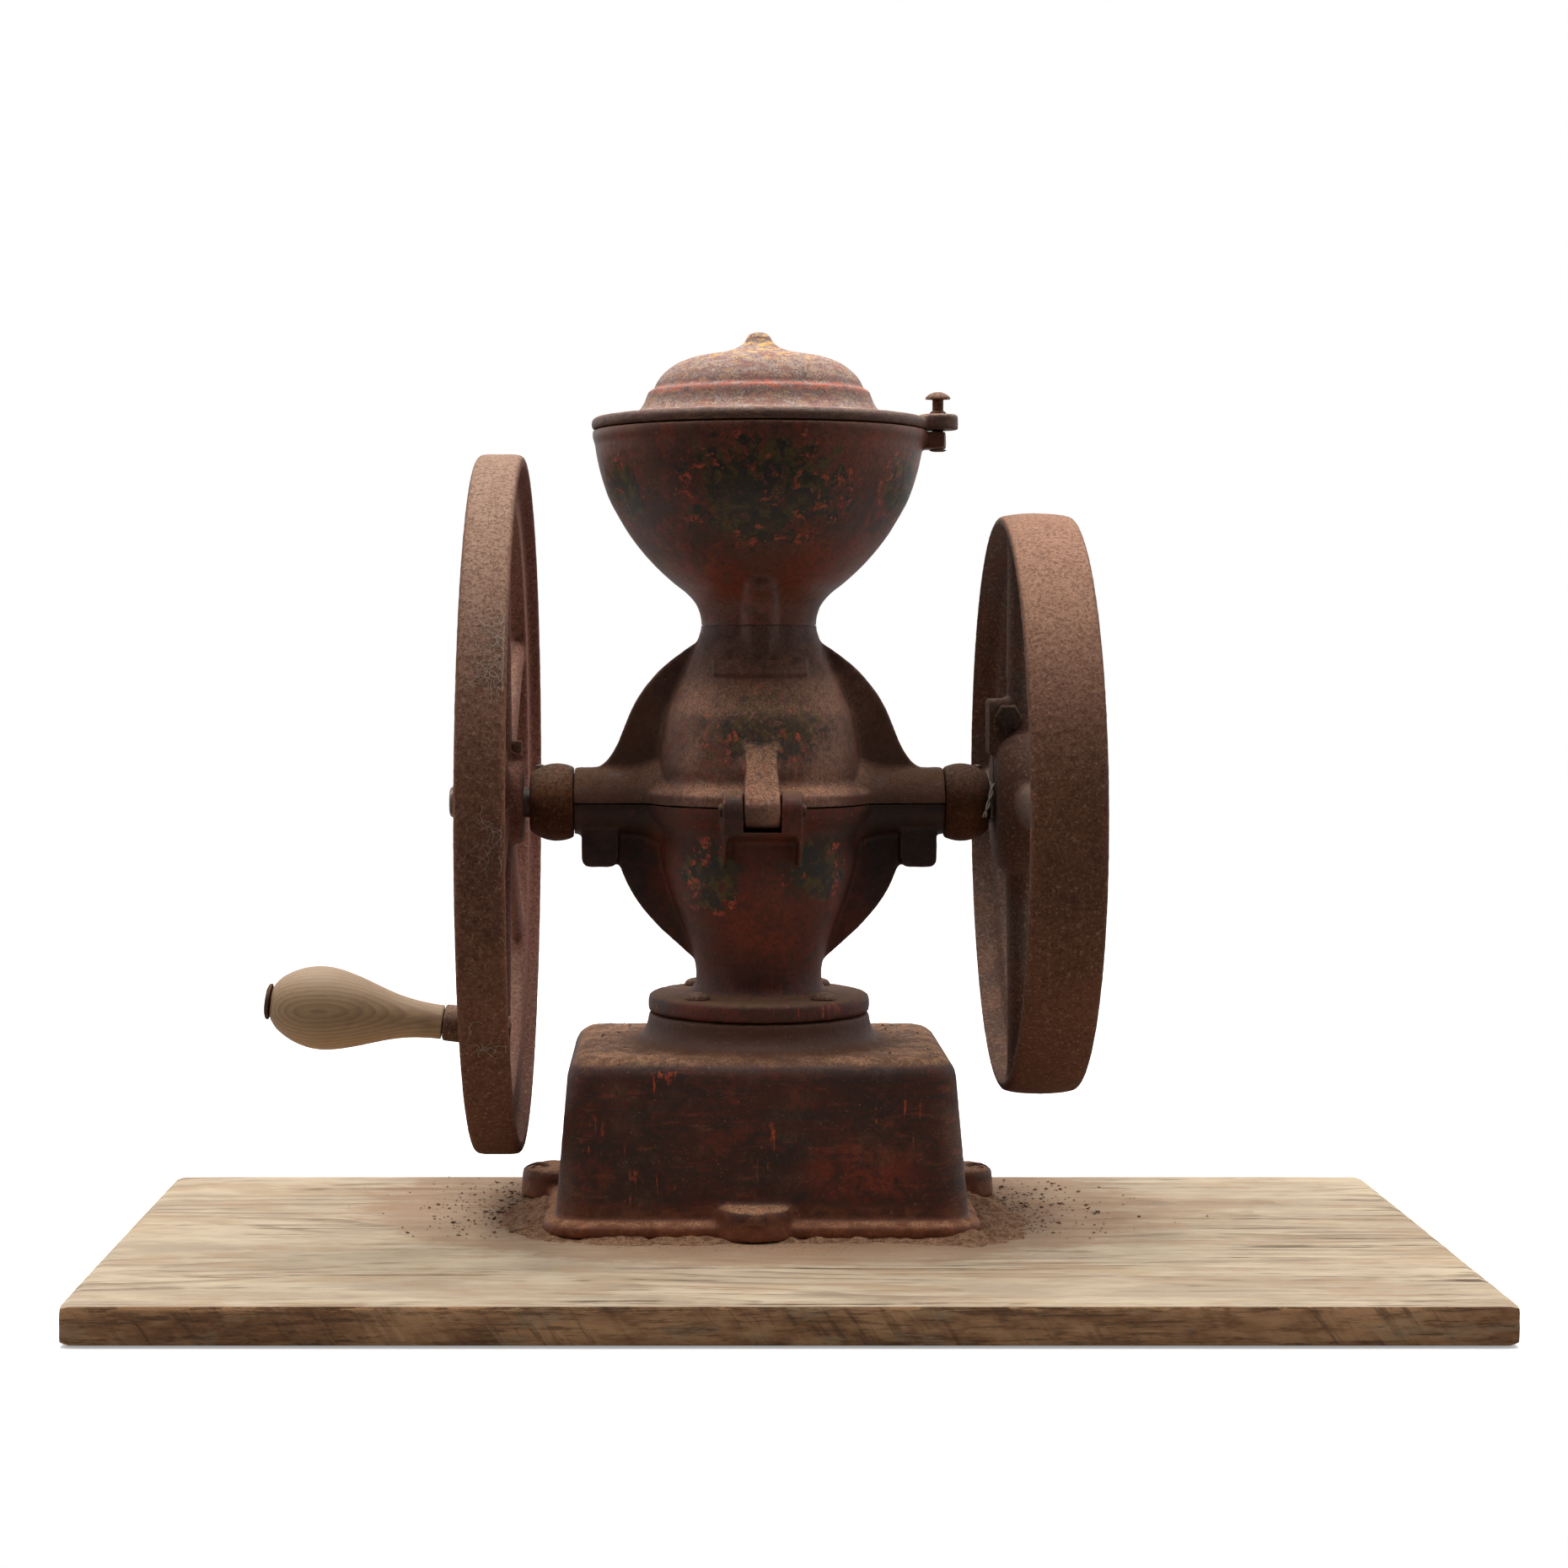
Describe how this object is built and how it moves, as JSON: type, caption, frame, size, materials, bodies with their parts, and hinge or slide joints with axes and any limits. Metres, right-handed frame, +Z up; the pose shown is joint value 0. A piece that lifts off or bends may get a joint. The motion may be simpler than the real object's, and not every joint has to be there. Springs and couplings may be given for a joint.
{
  "type": "grain mill",
  "caption": "Cast-iron hand grain mill on a plank: crank flywheel, belt pulley, hinged egg-shaped body, round hopper with swinging lid, box base with drawer.",
  "frame": {"origin": "underside of the mounting board, below the mill's upright axis", "axes": "+X along the shaft towards the belt pulley, +Y away from the viewer towards the drawer, +Z up"},
  "size_m": [0.777, 0.489, 0.5667],
  "materials": {
    "board_wood": "weathered grey-tan softwood, rough-sawn edges",
    "grip_wood": "weathered bare turned wood",
    "dark_casting": "worn dark red-brown paint under dust",
    "hopper_paint": "worn brick-red paint with faded dark decoration",
    "lid_paint": "worn red-brown paint, dusty",
    "rusty_iron": "fine granular brown rust",
    "orange_rust": "orange-brown rust",
    "dull_steel": "dull, lightly rusted steel",
    "bronze": "dull bearing bronze"
  },
  "bodies": {
    "stand": {"mounting_board": "board_wood", "base_casting": "dark_casting", "base_screw_front": "rusty_iron", "base_screw_left": "rusty_iron", "base_screw_right": "rusty_iron", "lower_shell": "dark_casting", "flange_bolt_front_left": "rusty_iron", "flange_bolt_front_right": "rusty_iron", "flange_bolt_rear_left": "rusty_iron", "flange_bolt_rear_right": "rusty_iron", "hinge_pin": "dull_steel", "bushing_left": "bronze", "bushing_right": "bronze", "fixed_burr": "dull_steel", "burr_screw_front": "dull_steel", "burr_screw_rear": "dull_steel"},
    "rotor": {"shaft": "dull_steel", "flywheel": "rusty_iron", "flywheel_set_screw": "rusty_iron", "pulley": "rusty_iron", "clamp_bolt": "rusty_iron", "clamp_nut": "rusty_iron", "collar_left": "orange_rust", "collar_right": "orange_rust", "collar_screw_left": "dull_steel", "collar_screw_right": "dull_steel", "shaft_wire": "dull_steel", "rotating_burr": "dull_steel", "feed_worm": "dull_steel", "handle_bolt": "rusty_iron", "handle_nut": "rusty_iron", "handle_ferrule": "rusty_iron"},
    "grip": {"handle_grip": "grip_wood"},
    "upper": {"upper_shell": "dark_casting", "hopper": "hopper_paint", "hopper_stud_front": "dull_steel", "hopper_stud_rear": "dull_steel", "lid_pin": "rusty_iron"},
    "lid": {"lid": "lid_paint"},
    "drawer": {"drawer_box": "board_wood", "drawer_front": "dark_casting", "drawer_knob": "dull_steel"},
    "latch": {"latch_screw": "dull_steel"}
  },
  "joints": [
    {"name": "shaft_spin", "type": "hinge", "parent": "stand", "child": "rotor", "pos_m": [0, 0, 0.2744], "axis": [1, 0, 0], "continuous": true},
    {"name": "grip_spin", "type": "hinge", "parent": "rotor", "child": "grip", "pos_m": [-0.174, -0.1546, 0.1565], "axis": [-0.993, 0, 0.1184], "continuous": true},
    {"name": "shell_open", "type": "hinge", "parent": "stand", "child": "upper", "pos_m": [0, -0.08, 0.274], "axis": [1, 0, 0], "range_deg": [0, 95]},
    {"name": "lid_swing", "type": "hinge", "parent": "upper", "child": "lid", "pos_m": [0.1114, 0, 0.5055], "axis": [0, 0, 1], "range_deg": [0, 150]},
    {"name": "drawer_slide", "type": "slide", "parent": "stand", "child": "drawer", "axis": [0, 1, 0], "range_m": [0, 0.14]},
    {"name": "latch_turn", "type": "hinge", "parent": "stand", "child": "latch", "pos_m": [0, 0.1, 0.291], "axis": [0, 1, 0], "range_deg": [0, 360]}
  ]
}
